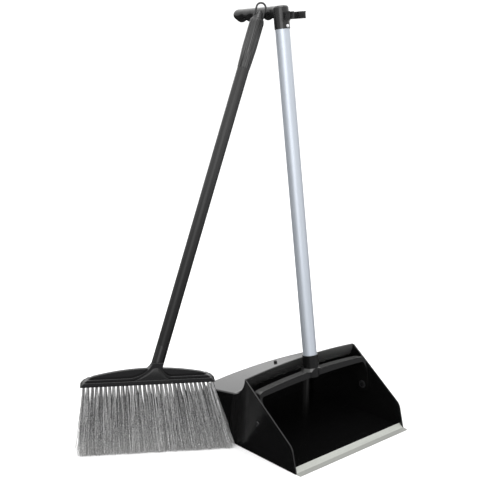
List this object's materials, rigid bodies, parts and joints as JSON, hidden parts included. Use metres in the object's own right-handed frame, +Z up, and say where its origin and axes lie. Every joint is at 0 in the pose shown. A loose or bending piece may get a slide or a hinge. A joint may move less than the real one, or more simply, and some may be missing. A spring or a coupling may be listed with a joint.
{
  "type": "upright dust pan and broom set",
  "caption": "Upright lobby dust pan with a rubber lip and a swinging tube handle, with the broom that leans on its grip",
  "frame": {"origin": "on the floor, under the middle of the pan's base", "axes": "+Z up, +X to the right seen from the lip, -Y towards the lip, +Y towards the rear wall"},
  "size_m": [0.5157, 0.3287, 0.7633],
  "materials": {
    "pan_black": "moulded polypropylene, polished outside",
    "lip_rubber": "light grey soft rubber, fine speckle",
    "pin_black": "moulded nylon",
    "nylon_natural": "natural nylon",
    "zinc_steel": "zinc plated",
    "yoke_black": "moulded, low gloss",
    "satin_aluminium": "satin anodised",
    "grip_black": "fine texture",
    "rivet_aluminium": "bright",
    "clip_black": "moulded",
    "head_black": "satin moulded",
    "bristle_grey": "grey polymer filaments with flagged tips",
    "stick_black": "plastic coated steel tube, satin",
    "sleeve_black": "soft sleeve with long flutes",
    "cap_black": "moulded"
  },
  "bodies": {
    "pan": {"pan_body": "pan_black", "lip_strip": "lip_rubber", "pivot_pin_left": "pin_black", "pivot_pin_right": "pin_black", "pivot_washer_left": "nylon_natural", "pivot_washer_right": "nylon_natural", "retaining_ring_left": "pin_black", "retaining_ring_right": "pin_black"},
    "handle": {"yoke": "yoke_black", "socket_screw": "zinc_steel", "handle_tube": "satin_aluminium", "tube_foot_plug": "nylon_natural", "grip_body": "grip_black", "grip_rivet": "rivet_aluminium", "broom_clip": "clip_black", "clip_screw": "zinc_steel"},
    "broom": {"broom_head": "head_black", "bristle_row_front": "bristle_grey", "bristle_row_middle": "bristle_grey", "bristle_row_rear": "bristle_grey", "tuft_staples": "zinc_steel", "thread_insert": "nylon_natural", "broom_stick": "stick_black", "grip_sleeve": "sleeve_black", "hanging_cap": "cap_black"}
  },
  "joints": [
    {"name": "handle_swing", "type": "hinge", "parent": "pan", "child": "handle", "pos_m": [0, -0.024, 0.059], "axis": [1, 0, 0], "range_deg": [0, 95]},
    {"name": "broom_lift", "type": "slide", "parent": "pan", "child": "broom", "axis": [0, 0, 1], "range_m": [0, 0.45]}
  ]
}
